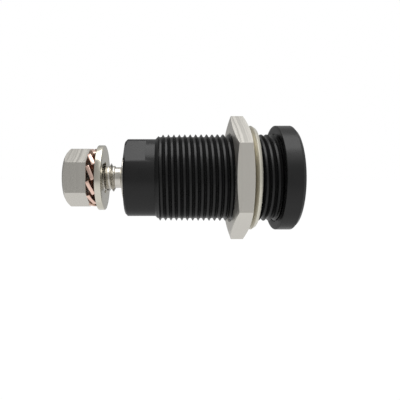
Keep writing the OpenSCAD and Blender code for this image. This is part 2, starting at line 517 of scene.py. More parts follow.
def mesh_from_tree(
    base: bpy.types.Mesh, tree: bpy.types.NodeTree, sizes: dict[str, object]
) -> bpy.types.Mesh:
    """Runs a Geometry Nodes tree on a mesh.

    Args:
        base: Mesh that the tree starts from, which is dropped.
        tree: The tree.
        sizes: Values of its named inputs.

    Returns:
        The result as a plain mesh.
    """
    carrier = bpy.data.objects.new("carrier", base)
    bpy.context.scene.collection.objects.link(carrier)
    modifier = carrier.modifiers.new("tree", "NODES")
    modifier.node_group = tree
    for item in tree.interface.items_tree:
        if item.in_out == "INPUT" and item.name in sizes:
            modifier[item.identifier] = sizes[item.name]
    result = evaluated_mesh(carrier)
    bpy.data.objects.remove(carrier)
    bpy.data.meshes.remove(base)
    return result


class SurfaceMarks:
    """Shader node groups for marks that several finishes share."""

    MM_SCALE = (1 / MM, 1 / MM, 1 / MM)

    # Slow drift of the tool lines: waves per millimetre and width in millimetres
    DRIFT_WAVES = 0.35
    DRIFT_WIDTH = 0.35

    # Length along the axis of a face's unit normal, from which the face is an end and not a side
    END_FACING = 0.5

    # Each set of tool lines: share of the number of lines, and detail
    LINE_SETS = {"Fine": (1.0, 4.0), "Broad": (0.5, 2.0)}

    # Each kind of mottle: input that sizes it, and detail
    MOTTLES = {"Cloud": ("Blotch", 3.0), "Speck": ("Grain", 1.0)}

    @classmethod
    def millimetres(cls, desk: NodeDesk) -> bpy.types.NodeSocket:
        """Object coordinates in millimetres."""
        place = desk.add("ShaderNodeTexCoord").outputs["Object"]
        return desk.run("ShaderNodeMapping", {"Vector": place, "Scale": cls.MM_SCALE}, vector_type="POINT")

    @classmethod
    def fill_tool_lines(cls, desk: NodeDesk) -> None:
        """Fills the group of the lines that a cutting tool leaves round the X axis.

        The outputs are Fine and Broad lines from 0 to 1, a mask Upper of the side faces in the third of
        a turn round +Z, the distance Reach from the axis in millimetres, and a mask End of the faces
        that look along the axis.

        Args:
            desk: Desk on the empty group.
        """
        desk.inputs("NodeSocketFloat", "Lines", "Ring Share", "Phase")
        desk.outputs("NodeSocketFloat", "Fine", "Broad", "Upper", "Reach", "End")
        given = desk.add("NodeGroupInput").outputs
        result = desk.add("NodeGroupOutput").inputs
        spot = cls.millimetres(desk)
        place = desk.split(spot)
        reach = desk.reach(place)
        desk.feed(result["Reach"], reach)

        slope = desk.math("MULTIPLY", desk.math("ABSOLUTE", place["Y"]), math.tan(math.pi / 6))
        above = desk.math("GREATER_THAN", place["Z"], slope)
        facing = desk.split(desk.add("ShaderNodeTexCoord").outputs["Normal"])
        sideways = desk.math("LESS_THAN", desk.math("ABSOLUTE", facing["X"]), cls.END_FACING)
        desk.feed(result["Upper"], desk.math("MULTIPLY", above, sideways))
        desk.feed(result["End"], desk.math("SUBTRACT", 1.0, sideways))

        waves = {"Vector": spot, "Scale": cls.DRIFT_WAVES}
        drift = desk.run("ShaderNodeTexNoise", waves, noise_dimensions="3D")
        across = desk.math("MULTIPLY_ADD", reach, given["Ring Share"], place["X"])
        drifted = desk.math("MULTIPLY_ADD", drift, cls.DRIFT_WIDTH, across)
        along = desk.math("ADD", drifted, given["Phase"])
        for label, (share, detail) in cls.LINE_SETS.items():
            lines = {"W": along, "Scale": desk.math("MULTIPLY", given["Lines"], share), "Detail": detail}
            desk.feed(result[label], desk.run("ShaderNodeTexNoise", lines, noise_dimensions="1D"))

    @classmethod
    def fill_mottle(cls, desk: NodeDesk) -> None:
        """Fills the group of soft blotches and fine grain.

        The inputs Blotch and Grain are numbers per millimetre. The outputs Cloud and Speck run from 0 to 1.

        Args:
            desk: Desk on the empty group.
        """
        desk.inputs("NodeSocketFloat", "Blotch", "Grain")
        desk.outputs("NodeSocketFloat", "Cloud", "Speck")
        given = desk.add("NodeGroupInput").outputs
        result = desk.add("NodeGroupOutput").inputs
        place = cls.millimetres(desk)
        for label, (size, detail) in cls.MOTTLES.items():
            noise = {"Vector": place, "Scale": given[size], "Detail": detail}
            desk.feed(result[label], desk.run("ShaderNodeTexNoise", noise, noise_dimensions="3D"))

    @classmethod
    def tool_lines(cls) -> bpy.types.NodeTree:
        """The group of tool lines."""
        return shared_tree("tool_lines", "ShaderNodeTree", cls.fill_tool_lines)

    @classmethod
    def mottle(cls) -> bpy.types.NodeTree:
        """The group of blotches and grain."""
        return shared_tree("mottle", "ShaderNodeTree", cls.fill_mottle)


def shade(colour: Colour, share: float) -> tuple[float, float, float, float]:
    """Colour scaled by a share, with full alpha."""
    return (colour[0] * share, colour[1] * share, colour[2] * share, 1.0)


def new_material(name: str) -> tuple[bpy.types.Material, NodeDesk, bpy.types.Node]:
    """Makes an empty Principled material.

    Args:
        name: Name of the material.

    Returns:
        The material, a desk on its nodes and its Principled node.
    """
    material = bpy.data.materials.new(name)
    material.use_nodes = True
    desk = NodeDesk(material.node_tree)
    return material, desk, material.node_tree.nodes["Principled BSDF"]


def add_group(desk: NodeDesk, tree: bpy.types.NodeTree, **values: float) -> bpy.types.NodeOutputs:
    """Places a shader group in a material.

    Args:
        desk: Desk on the material's nodes.
        tree: The group.
        values: Settings of its inputs, with underscores for spaces.

    Returns:
        The group's outputs.
    """
    node = desk.add("ShaderNodeGroup", node_tree=tree)
    for name, value in values.items():
        node.inputs[name.replace("_", " ")].default_value = value
    return node.outputs


def add_bump(desk: NodeDesk, height: bpy.types.NodeSocket, depth: float, shader: bpy.types.Node) -> None:
    """Feeds a height from 0 to 1 into a shader's normal.

    Args:
        desk: Desk on the material's nodes.
        height: The height.
        depth: Real depth of the marks.
        shader: The Principled node.
    """
    bump = desk.run("ShaderNodeBump", {"Height": height, "Distance": depth})
    desk.feed(shader.inputs["Normal"], bump)


@dataclass(frozen=True)
class MouldedPlastic:
    """Black satin plastic with a faint moulded grain that swallows part of the grazing light."""

    name: str = "black_plastic"
    colour: Colour = (0.006, 0.006, 0.0061)
    cloud: float = 0.25
    roughness: Span = (0.24, 0.32)
    ior: float = 1.38
    gloss: Span = (0.5, 0.15)
    grazing: Span = (0.2, 0.65)
    blotches: float = 0.6
    grains: float = 9.0
    grain_depth: float = 0.0016 * MM

    def material(self) -> bpy.types.Material:
        """Builds the finish.

        Returns:
            The material.
        """
        material, desk, shader = new_material(self.name)
        marks = add_group(desk, SurfaceMarks.mottle(), Blotch=self.blotches, Grain=self.grains)
        dark = shade(self.colour, 1 - self.cloud)
        light = shade(self.colour, 1 + self.cloud)
        desk.feed(shader.inputs["Base Color"], desk.blend(marks["Cloud"], dark, light))
        desk.feed(shader.inputs["Roughness"], desk.remap(marks["Cloud"], self.roughness))
        shader.inputs["IOR"].default_value = self.ior
        facing = desk.add("ShaderNodeLayerWeight").outputs["Facing"]
        desk.feed(shader.inputs["Specular IOR Level"], desk.remap(facing, self.gloss, self.grazing))
        add_bump(desk, marks["Speck"], self.grain_depth, shader)
        return material


@dataclass(frozen=True)
class PlatedMetal:
    """Bright metal with tool lines round the axis and an uneven tone.

    Two shares of the colour give the tones of its upper side faces, in a tool line and beside it: the
    tool lines are real, and the streaked tone that these faces alone take is painted shade and reflection
    of the lamp overhead.
    The shade reach and the dulled span are distances from the axis in millimetres: up to the first of the
    shade reach the colour is painted with a dark shade colour and made rougher, standing in for the shade
    in the hollows, and it keeps its own colour from the second; the metal grows duller between the two
    others. Its ends are rougher than its sides by the end roughness.
    """

    name: str
    colour: Colour
    roughness: Span
    lines: float
    ring_share: float
    line_depth: float
    tone: float
    # Tones of the upper side faces, as shares of the colour: painted shade and reflection along the real
    # tool lines
    scratch_and_shade_tones: Span = (1.0, 1.0)
    scratch_and_shade_span: Span = (0.3, 0.55)
    # Painted shade in the hollows near the axis: its colour, its reach and the roughness there
    recess_shade_colour: Colour = (0.0, 0.0, 0.0)
    recess_shade_reach: Span = (-1.0, 0.0)
    recess_roughness: float = 0.35
    blotches: float = 0.45
    phase: float = 0.0
    dulling: float = 0.0
    dulled: Span = (4.6, 6.0)
    end_roughness: float = 0.0

    # Share of the blotches in the uneven tone, of which the tool lines are the rest
    CLOUD_SHARE = 0.35

    def material(self) -> bpy.types.Material:
        """Builds the finish.

        Returns:
            The material.
        """
        material, desk, shader = new_material(self.name)
        lines = add_group(
            desk, SurfaceMarks.tool_lines(), Lines=self.lines, Ring_Share=self.ring_share, Phase=self.phase,
        )
        marks = add_group(desk, SurfaceMarks.mottle(), Blotch=self.blotches)
        streak = desk.math("MULTIPLY", desk.math("ADD", lines["Fine"], lines["Broad"]), 0.5)
        streak_tone = desk.math("MULTIPLY", streak, 1 - self.CLOUD_SHARE)
        toned = desk.math("MULTIPLY_ADD", marks["Cloud"], self.CLOUD_SHARE, streak_tone)
        plain = desk.blend(toned, shade(self.colour, 1 - self.tone), shade(self.colour, 1 + self.tone))
        # Painted shade and reflection: the upper side faces alone take a streaked tone of their own along
        # the real tool lines, set by how they face the lamp overhead
        dark_end, light_end = (shade(self.colour, share) for share in self.scratch_and_shade_tones)
        scratch_and_shade_colour = desk.blend(desk.remap(lines["Broad"], (0.0, 1.0), self.scratch_and_shade_span), dark_end, light_end)
        outer = desk.blend(lines["Upper"], plain, scratch_and_shade_colour)
        # Painted shade: near the axis the colour turns to a dark shade colour, standing in for the shade in
        # the hollows between a lock washer's teeth, and the surface there is rougher
        unshaded_share = desk.remap(lines["Reach"], (0.0, 1.0), self.recess_shade_reach)
        desk.feed(shader.inputs["Base Color"], desk.blend(unshaded_share, shade(self.recess_shade_colour, 1.0), outer))
        dull_outside = desk.remap(lines["Reach"], (0.0, self.dulling), self.dulled)
        recess_roughening = desk.remap(unshaded_share, (self.recess_roughness, 0.0))
        faced = desk.math("MULTIPLY_ADD", lines["End"], self.end_roughness, recess_roughening)
        rough = desk.math("ADD", desk.remap(streak, self.roughness), dull_outside)
        desk.feed(shader.inputs["Roughness"], desk.math("ADD", rough, faced))
        shader.inputs["Metallic"].default_value = 1.0
        add_bump(desk, lines["Fine"], self.line_depth, shader)
        return material


class Finish(Enum):
    """The record's material slots and their finishes."""

    BLACK_PLASTIC = MouldedPlastic()
    NICKEL_CONTACT = PlatedMetal(
        "nickel_contact", (0.64, 0.615, 0.565), (0.16, 0.3), lines=5.0, ring_share=1.0,
        line_depth=0.0004 * MM, tone=0.05,
    )
    # The nut's upper side faces get a darker, streaked tone: painted shade and reflection over real tool
    # lines
    NICKEL_NUT = PlatedMetal(
        "nickel_nut", (0.64, 0.617, 0.567), (0.14, 0.34), lines=3.2, ring_share=0.15,
        line_depth=0.0003 * MM, tone=0.04, scratch_and_shade_tones=(0.6, 1.13), phase=23.25, end_roughness=0.12,
    )
    NICKEL_WASHER = PlatedMetal(
        "nickel_washer", (0.64, 0.615, 0.53), (0.12, 0.24), lines=4.0, ring_share=0.5,
        line_depth=0.0004 * MM, tone=0.05, dulling=0.14,
    )
    # The dark brown near the axis is painted shade between the lock washer's teeth
    BRONZE = PlatedMetal(
        "bronze", (0.86, 0.61, 0.51), (0.2, 0.32), lines=4.0, ring_share=0.3,
        line_depth=0.0003 * MM, tone=0.05, recess_shade_colour=(0.55, 0.28, 0.18), recess_shade_reach=(3.3, 3.8),
    )


class FinishRack:
    """Keeps one material for each finish."""

    def __init__(self) -> None:
        """Builds every finish."""
        self.materials = {finish: finish.value.material() for finish in Finish}

    def __getitem__(self, finish: Finish) -> bpy.types.Material:
        """The material of a finish."""
        return self.materials[finish]


def mount(piece: bpy.types.Object, node: str, body: str, finish: Finish) -> None:
    """Puts a finished piece on its body in place of its CAD node.

    Args:
        piece: The piece.
        node: CAD node that it replaces.
        body: Body that it moves with.
        finish: Its finish.
    """
    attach(piece, body)
    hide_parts(node)
    faces = len(piece.data.polygons)
    LOG.info("%s rides on %s in %s, %d faces", piece.name, body, finish.value.name, faces)


BODY_THREAD = Thread(
    pitch=0.75 * MM, crest_radius=6.0 * MM, crest_at_level=-0.555 * MM,
    crest_rounding=0.02 * MM, root_rounding=0.14 * MM, depth=0.36 * MM,
)
STUD_THREAD = Thread(
    pitch=0.7 * MM, crest_radius=2.0 * MM, crest_at_level=-22.035 * MM,
    crest_rounding=0.02 * MM, root_rounding=0.1 * MM, depth=0.38 * MM,
)


@dataclass(kw_only=True)
class SocketPiece:
    """A piece of the socket that takes the place of one CAD node."""

    node: str
    body: str
    finish: Finish

    def shape(self, skin: Skin, material: bpy.types.Material) -> None:
        """Adds the faces of the piece.

        Args:
            skin: An empty skin.
            material: The piece's finish.
        """
        raise NotImplementedError

    def build(self, rack: FinishRack) -> bpy.types.Object:
        """Builds and dresses the piece.

        Args:
            rack: The finishes.

        Returns:
            The piece.
        """
        skin = Skin()
        self.shape(skin, rack[self.finish])
        piece = skin.piece(self.node, rack[self.finish])
        mount(piece, self.node, self.body, self.finish)
        return piece


@dataclass(kw_only=True)
class InsulatingBody(SocketPiece):
    """The moulded body: flange, threaded barrel, plain rear end with wrench flats, and plug well."""

    node: str = "insulating_body"
    body: str = "socket"
    finish: Finish = Finish.BLACK_PLASTIC
    flange_chamfer: float = 0.45 * MM
    seat_hole_radius: float = 6.1 * MM
    seat_undercut: float = 0.15 * MM
    seat_edge: float = 0.04 * MM
    thread_end: float = -16.4 * MM
    rear_radius: float = 5.35 * MM
    rear_chamfer: float = 0.3 * MM
    flats_half: float = 4.9 * MM
    flats_len: float = 2.9 * MM
    flats_turn: float = math.radians(48)
    well_radius: float = 4.1 * MM
    mouth_chamfer: float = 0.4 * MM
    rear_wall: float = 3.2 * MM
    shank_hole_radius: float = 3.02 * MM
    edge: float = 0.1 * MM
    lead_in_edge: float = 0.2 * MM
    run_out_slopes: Span = (1.7, 1.0)

    def flat_normals(self) -> Span:
        """Angles of the two wrench flats, from +Y towards +Z."""
        return (math.pi - self.flats_turn, FULL_TURN - self.flats_turn)

    def flat_angles(self) -> list[float]:
        """Angles of the columns, with the nearest ones moved to the edges of the flats.

        Returns:
            One angle for each column.
        """
        angles = Skin.angles()
        half = math.acos(self.flats_half / self.rear_radius)
        for normal in self.flat_normals():
            for edge in (normal - half, normal + half):
                column = round(edge * COLUMNS / FULL_TURN) % COLUMNS
                angles[column] = edge
        return angles

    def under_flats(self, radius: float) -> Radius:
        """Cuts the wrench flats into a turned surface.

        Args:
            radius: Radius of the surface.

        Returns:
            The radius that is left, as a function of the angle.
        """
        def cut(angle: float) -> float:
            """Radius left at one angle."""
            facings = [math.cos(angle - normal) for normal in self.flat_normals()]
            return min([radius] + [self.flats_half / facing for facing in facings if facing > 0])

        return cut

    def shape(self, skin: Skin, material: bpy.types.Material) -> None:
        """Adds the faces of the body.

        Args:
            skin: An empty skin.
            material: The piece's finish.
        """
        low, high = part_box(self.node)
        front_x, rear_x, flange_r = high.x, low.x, high.y
        floor_x = rear_x + self.rear_wall
        neck_r = BODY_THREAD.root_radius()
        front = [
            Corner(self.seat_undercut, neck_r),
            Corner(self.seat_undercut, self.seat_hole_radius),
            Corner(0, self.seat_hole_radius, self.seat_edge),
            Corner(0, flange_r, self.edge),
            Corner(front_x - self.flange_chamfer, flange_r, self.edge),
            Corner(front_x, flange_r - self.flange_chamfer, self.edge),
            Corner(front_x, self.well_radius + self.mouth_chamfer, self.edge),
            Corner(front_x - self.mouth_chamfer, self.well_radius, self.lead_in_edge),
            Corner(floor_x, self.well_radius, self.edge),
            Corner(floor_x, self.shank_hole_radius),
            Corner(rear_x, self.shank_hole_radius),
        ]
        hole_ring = skin.turn(rounded(front))[-1]
        tail = [
            Corner(rear_x, self.shank_hole_radius),
            Corner(rear_x, self.rear_radius - self.rear_chamfer, self.edge),
            Corner(rear_x + self.rear_chamfer, self.rear_radius, self.edge),
            Corner(rear_x + self.flats_len, self.rear_radius),
        ]
        angles = self.flat_angles()
        rings = [hole_ring]
        for x, radius in rounded(tail)[1:]:
            rings.append(skin.ring(x, self.under_flats(radius), angles))
        rings.append(skin.ring(rear_x + self.flats_len, self.rear_radius, angles))
        rings.append(skin.ring(self.thread_end, self.rear_radius))
        skin.join(rings)
        skin.take(BODY_THREAD.skin(
            Corner(self.seat_undercut, neck_r), Corner(self.thread_end, self.rear_radius),
            self.run_out_slopes, material,
        ))


@dataclass(kw_only=True)
class Contact(SocketPiece):
    """The turned contact: plug tube, shoulder, collar and threaded terminal stud."""

    node: str = "contact"
    body: str = "socket"
    finish: Finish = Finish.NICKEL_CONTACT
    plug_radius: float = 2.0 * MM
    plug_depth: float = 14.8 * MM
    plug_chamfer: float = 0.35 * MM
    tube_radius: float = 3.0 * MM
    shoulder_front: float = -16.3 * MM
    shoulder_rear: float = -17.3 * MM
    collar_face: float = -20.9 * MM
    undercut_radius: float = 1.45 * MM
    undercut_len: float = 1.05 * MM
    undercut_fillet: float = 0.35 * MM
    stud_end_radius: float = 1.6 * MM
    edge: float = 0.1 * MM
    lead_in_edge: float = 0.2 * MM
    run_out_slopes: Span = (1.7, 1.0)

    def shape(self, skin: Skin, material: bpy.types.Material) -> None:
        """Adds the faces of the contact.

        Args:
            skin: An empty skin.
            material: The piece's finish.
        """
        low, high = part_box(self.node)
        tip_x, end_x, shoulder_r = high.x, low.x, high.y
        thread_front = self.collar_face - self.undercut_len
        bore_end = tip_x - self.plug_depth
        outline = [
            Corner(bore_end, self.plug_radius),
            Corner(tip_x - self.plug_chamfer, self.plug_radius, self.lead_in_edge),
            Corner(tip_x, self.plug_radius + self.plug_chamfer, self.edge),
            Corner(tip_x, self.tube_radius, self.lead_in_edge),
            Corner(self.shoulder_front, self.tube_radius),
            Corner(self.shoulder_front, shoulder_r, self.edge),
            Corner(self.shoulder_rear, shoulder_r, self.edge),
            Corner(self.shoulder_rear, self.tube_radius),
            Corner(self.collar_face, self.tube_radius, self.edge),
            Corner(self.collar_face, self.undercut_radius, self.undercut_fillet),
            Corner(thread_front, self.undercut_radius),
        ]
        rings = skin.turn(rounded(outline))
        skin.close(rings[0], bore_end)
        end_ring = skin.ring(end_x, self.stud_end_radius)
        skin.close(end_ring, end_x)
        skin.take(STUD_THREAD.skin(
            Corner(thread_front, self.undercut_radius), Corner(end_x, self.stud_end_radius),
            self.run_out_slopes, material,
        ))


@dataclass(kw_only=True)
class HexNut(SocketPiece):
    """A hexagon nut with corners up and down, chamfered ends and a threaded bore."""

    finish: Finish = Finish.NICKEL_NUT
    thread: Thread
    front_bevel: float
    rear_bevel: float
    face_inset: float
    corner_trim: float = 0.006 * MM
    rim_break: float = 0.02 * MM
    countersink: float = 0.25 * MM
    play: float = 0.05 * MM
    sink_slope: float = 1.0

    SIDES = 6

    def corner_angles(self, flat_r: float, corner_r: float) -> list[float]:
        """Angles of the columns, with those beside a corner moved to the ends of its narrow round.

        Args:
            flat_r: Distance of the flats from the axis.
            corner_r: Radius of the rounded corners.

        Returns:
            One angle for each column.
        """
        angles = Skin.angles()
        stride = COLUMNS // self.SIDES
        half = math.pi / self.SIDES - math.acos(flat_r / corner_r)
        for corner in range(stride // 2, COLUMNS, stride):
            angles[corner - 1] = angles[corner] - half
            angles[corner + 1] = angles[corner] + half
        return angles

    def shape(self, skin: Skin, material: bpy.types.Material) -> None:
        """Adds the faces of the nut.

        Args:
            skin: An empty skin.
            material: The piece's finish.
        """
        low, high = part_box(self.node)
        front_x, rear_x, flat_r = high.x, low.x, high.y
        face_r = flat_r - self.face_inset
        corner_r = flat_r / math.cos(math.pi / self.SIDES) - self.corner_trim
        sink_r = self.thread.crest_radius + self.play + 0.5 * self.countersink
        side = FULL_TURN / self.SIDES

        def hexagon(angle: float) -> float:
            """Radius of the hexagon at one angle."""
            return min(corner_r, flat_r / math.cos((angle + side / 2) % side - side / 2))

        def chamfered(face_x: float, bevel: float, into: float) -> list[Ring]:
            """Adds the rings of one end, from its face to its flats.

            Args:
                face_x: Place of the face along the axis.
                bevel: Angle of the chamfer.
                into: Direction from the face into the nut, 1 or -1 along the axis.

            Returns:
                The rings.
            """
            def drop(angle: float) -> float:
                """Depth of the chamfer's edge at one angle."""
                return (hexagon(angle) - face_r) * math.tan(bevel)

            return [
                skin.ring(face_x, sink_r),
                skin.ring(face_x, face_r, angles),
                skin.ring(
                    lambda angle: face_x + into * (drop(angle) - self.rim_break * math.tan(bevel)),
                    lambda angle: hexagon(angle) - self.rim_break,
                    angles,
                ),
                skin.ring(lambda angle: face_x + into * (drop(angle) + self.rim_break), hexagon, angles),
            ]

        angles = self.corner_angles(flat_r, corner_r)
        front = chamfered(front_x, self.front_bevel, -1)
        rear = chamfered(rear_x, self.rear_bevel, 1)
        skin.join(front + rear[::-1])
        skin.take(self.thread.skin(
            Corner(front_x, sink_r), Corner(rear_x, sink_r), (self.sink_slope, self.sink_slope),
            material, ThreadSide.BORE, self.play,
        ))


@dataclass(kw_only=True)
class StampedRing(SocketPiece):
    """A stamped washer, flat or conical, with softly rounded rims."""

    finish: Finish = Finish.NICKEL_WASHER
    hole_radius: float
    edge: float
    sheet: float
    cone: float = 0.0

    def shape(self, skin: Skin, material: bpy.types.Material) -> None:
        """Adds the faces of the washer.

        Args:
            skin: An empty skin.
            material: The piece's finish, which the washer's shape does not use.
        """
        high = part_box(self.node)[1]
        hole = self.hole_radius
        lean = self.sheet * math.sin(self.cone)
        depth = self.sheet * math.cos(self.cone)
        rise = (high.y - hole - lean) * math.tan(self.cone)
        outline = [
            Corner(high.x - rise - depth / 2, hole + lean / 2),
            Corner(high.x - rise, hole, self.edge),
            Corner(high.x, high.y - lean, self.edge),
            Corner(high.x - depth, high.y, self.edge),
            Corner(high.x - rise - depth, hole + lean, self.edge),
        ]
        points = rounded(outline + [outline[0]])
        rings = [skin.ring(x, r) for x, r in points[:-1]]
        skin.join(rings + [rings[0]])


@dataclass(kw_only=True)
class ToothLockWasher(SocketPiece):
    """A lock washer with twisted outside teeth, made from one tooth's sector by Geometry Nodes."""

    node: str = "tooth_lock_washer"
    body: str = "terminal_washers"
    finish: Finish = Finish.BRONZE
    hole_radius: float = 2.15 * MM
    ring_radius: float = 3.0 * MM
    tip_radius: float = 4.0 * MM
    twist_start: float = 2.7 * MM
    sheet: float = 0.47 * MM
    teeth: int = 12
    tip_width: float = 2.15 * MM
    root_width: float = 0.95 * MM
    twist: float = math.radians(26)
    first_tooth: float = math.radians(9.7)
    slot_depth: float = 0.12 * MM
    edge: float = 0.025 * MM
    sharp: float = math.radians(50)

    TOOTH_COLUMNS = 6
    TOOTH_ROWS = 9
    RING_ROWS = 3
    SLOT_STEPS = 3

    @staticmethod
    def fill_tree(desk: NodeDesk) -> None:
        """Fills the tree that repeats a sector round the X axis.

        Args:
            desk: Desk on the empty tree.
        """
        desk.outputs("NodeSocketGeometry", "Geometry")
        desk.inputs("NodeSocketGeometry", "Geometry")
        desk.inputs("NodeSocketInt", "Count")
        desk.inputs("NodeSocketFloat", "Turn")
        desk.inputs("NodeSocketMaterial", "Material")
        given = desk.add("NodeGroupInput").outputs
        line = {"Count": given["Count"], "Offset": (0.0, 0.0, 0.0)}
        points = desk.run("GeometryNodeMeshLine", line, mode="OFFSET")
        step = desk.math("DIVIDE", FULL_TURN, given["Count"])
        number = desk.add("GeometryNodeInputIndex").outputs[0]
        angle = desk.math("MULTIPLY_ADD", number, step, given["Turn"])
        turn = {"Axis": (1.0, 0.0, 0.0), "Angle": angle}
        turned = desk.run("FunctionNodeAxisAngleToRotation", turn)
        sectors = {"Points": points, "Instance": given["Geometry"], "Rotation": turned}
        repeated = desk.run("GeometryNodeInstanceOnPoints", sectors)
        realized = desk.run("GeometryNodeRealizeInstances", {"Geometry": repeated})
        desk.dress(realized, given["Material"])

    def half_width(self, reach: float) -> float:
        """Half the width of a tooth at a distance from the axis."""
        share = (reach - self.twist_start) / (self.tip_radius - self.twist_start)
        return 0.5 * (self.root_width + share * (self.tip_width - self.root_width))

    def twisted(self, middle: float, side: float, across: float, reach: float) -> Point:
        """Place of a point of the tooth along +Y.

        Args:
            middle: Place of the sheet's middle plane along the axis.
            side: Distance from that plane.
            across: Distance from the tooth's middle line.
            reach: Distance along the tooth from the axis.

        Returns:
            The point, turned about the tooth's middle line.
        """
        share = (reach - self.twist_start) / (self.tip_radius - self.twist_start)
        angle = -self.twist * max(0.0, share)
        x = side * math.cos(angle) - across * math.sin(angle)
        z = side * math.sin(angle) + across * math.cos(angle)
        return (middle + x, reach, z)

    def sector(self, middle: float) -> bpy.types.Mesh:
        """Builds one tooth with its share of the ring.

        Args:
            middle: Place of the sheet's middle plane along the axis.

        Returns:
            A mesh along +Y, open at its two radial ends.
        """
        mesh = bmesh.new()
        half_sector = math.pi / self.teeth
        root_angle = math.asin(self.half_width(self.ring_radius) / self.ring_radius)
        tooth_shares = [2 * n / self.TOOTH_COLUMNS - 1 for n in range(self.TOOTH_COLUMNS + 1)]
        slot_shares = [n / self.SLOT_STEPS for n in range(1, self.SLOT_STEPS + 1)]

        def ring_angle(share: float) -> float:
            """Angle of a column in the ring, where shares past 1 lie in the slot."""
            inside = max(-1.0, min(1.0, share))
            beyond = share - inside
            return inside * root_angle + beyond * (half_sector - root_angle)

        def ring_edge(share: float) -> float:
            """Radius of the ring's outer edge, which dips in the slot between two teeth."""
            beyond = max(0.0, abs(share) - 1)
            return self.ring_radius - self.slot_depth * math.sqrt(1 - (1 - beyond) ** 2)

        shares = [-1 - s for s in reversed(slot_shares)] + tooth_shares + [1 + s for s in slot_shares]
        sheets = []
        for side in (-self.sheet / 2, self.sheet / 2):
            columns = {}
            for share in shares:
                column = []
                for row in range(self.RING_ROWS + 1):
                    along = row / self.RING_ROWS
                    radius = self.hole_radius + along * (ring_edge(share) - self.hole_radius)
                    angle = ring_angle(share)
                    reach, across = radius * math.cos(angle), radius * math.sin(angle)
                    if abs(share) <= 1:
                        place = self.twisted(middle, side, across, reach)
                    else:
                        place = (middle + side, reach, across)
                    column.append(mesh.verts.new(place))
                if abs(share) <= 1:
                    column += self.tooth_column(mesh, middle, side, share, root_angle)
                columns[share] = column
            sheets.append(columns)
        self.skin_sector(mesh, sheets, shares)
        bmesh.ops.recalc_face_normals(mesh, faces=mesh.faces)
        folds = [edge for edge in mesh.edges if len(edge.link_faces) == 2]
        corners = [edge for edge in folds if edge.calc_face_angle() > self.sharp]
        bmesh.ops.bevel(
            mesh, geom=corners, offset=self.edge, segments=2, profile=0.5, affect="EDGES",
            clamp_overlap=True,
        )
        result = bpy.data.meshes.new("tooth_sector")
        mesh.to_mesh(result)
        mesh.free()
        return result

    def tooth_column(
        self, mesh: bmesh.types.BMesh, middle: float, side: float, share: float, root_angle: float
    ) -> Ring:
        """Adds one column of points from the ring's edge to the tooth's tip.

        Args:
            mesh: The sector's mesh.
            middle: Place of the sheet's middle plane along the axis.
            side: Distance from that plane.
            share: Place across the tooth, from -1 to 1.
            root_angle: Half the angle of the tooth where it leaves the ring.

        Returns:
            The column's vertices.
        """
        vertices = []
        start = self.ring_radius * math.cos(share * root_angle)
        tip_across = share * self.half_width(self.tip_radius)
        tip = math.sqrt(self.tip_radius ** 2 - (tip_across * math.cos(self.twist)) ** 2)
        for row in range(1, self.TOOTH_ROWS + 1):
            reach = start + (tip - start) * row / self.TOOTH_ROWS
            across = share * self.half_width(reach)
            vertices.append(mesh.verts.new(self.twisted(middle, side, across, reach)))
        return vertices

    @staticmethod
    def skin_sector(
        mesh: bmesh.types.BMesh, sheets: Sequence[dict[float, Ring]], shares: Sequence[float]
    ) -> None:
        """Adds the faces of the two sides and of the edges between them.

        Args:
            mesh: The sector's mesh.
            sheets: Columns of points of both sides, by share.
            shares: The shares in order.
        """
        front, back = sheets
        for left, right in zip(shares, shares[1:]):
            rows = min(len(front[left]), len(front[right]))
            for columns in (front, back):
                for row in range(rows - 1):
                    mesh.faces.new((
                        columns[left][row], columns[right][row],
                        columns[right][row + 1], columns[left][row + 1],
                    ))
            for row in (0, rows - 1):
                mesh.faces.new((front[left][row], front[right][row], back[right][row], back[left][row]))
        for share in (-1.0, 1.0):
            ring_rows = len(front[shares[0]])
            for row in range(ring_rows - 1, len(front[share]) - 1):
                mesh.faces.new((
                    front[share][row], front[share][row + 1], back[share][row + 1], back[share][row],
                ))

    def shape(self, skin: Skin, material: bpy.types.Material) -> None:
        """Adds the faces of the lock washer.

        Args:
            skin: An empty skin.
            material: The piece's finish.
        """
        low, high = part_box(self.node)
        sizes = {
            "Count": self.teeth,
            "Turn": math.pi - self.first_tooth,
            "Material": material,
        }
        tree = shared_tree("teeth_round_axis", "GeometryNodeTree", self.fill_tree)
        skin.take(mesh_from_tree(self.sector((low.x + high.x) / 2), tree, sizes))


@dataclass(frozen=True)
class SoftBox:
    """A level rectangular lamp over the object."""

    name: str
    centre: Point
    width: float
    depth: float
    radiance: float
    turn: float

    def build(self) -> None:
        """Hangs the lamp, facing down."""
        light = bpy.data.lights.new(self.name, "AREA")
        light.shape = "RECTANGLE"
        light.size = self.width
        light.size_y = self.depth
        light.energy = self.radiance * math.pi * self.width * self.depth
        lamp = bpy.data.objects.new(self.name, light)
        lamp.location = self.centre
        lamp.rotation_euler = (0, 0, self.turn)
        bpy.context.scene.collection.objects.link(lamp)


@dataclass(frozen=True)
class Apron:
    """A grey card on the floor, between two lines along the object, brighter towards its far line."""

    name: str
    near: float
    far: float
    glows: Span


@dataclass(frozen=True)
class Ramp:
    """A glow that changes from left to right."""

    span: Span
    glows: Span


@dataclass(frozen=True)
class CardWall:
    """Part of the ring of grey cards, between two angles from the camera's side of the ring."""

    name: str
    start: float
    end: float
    height: float
    foot: Ramp
    top: Ramp
    rise: Span


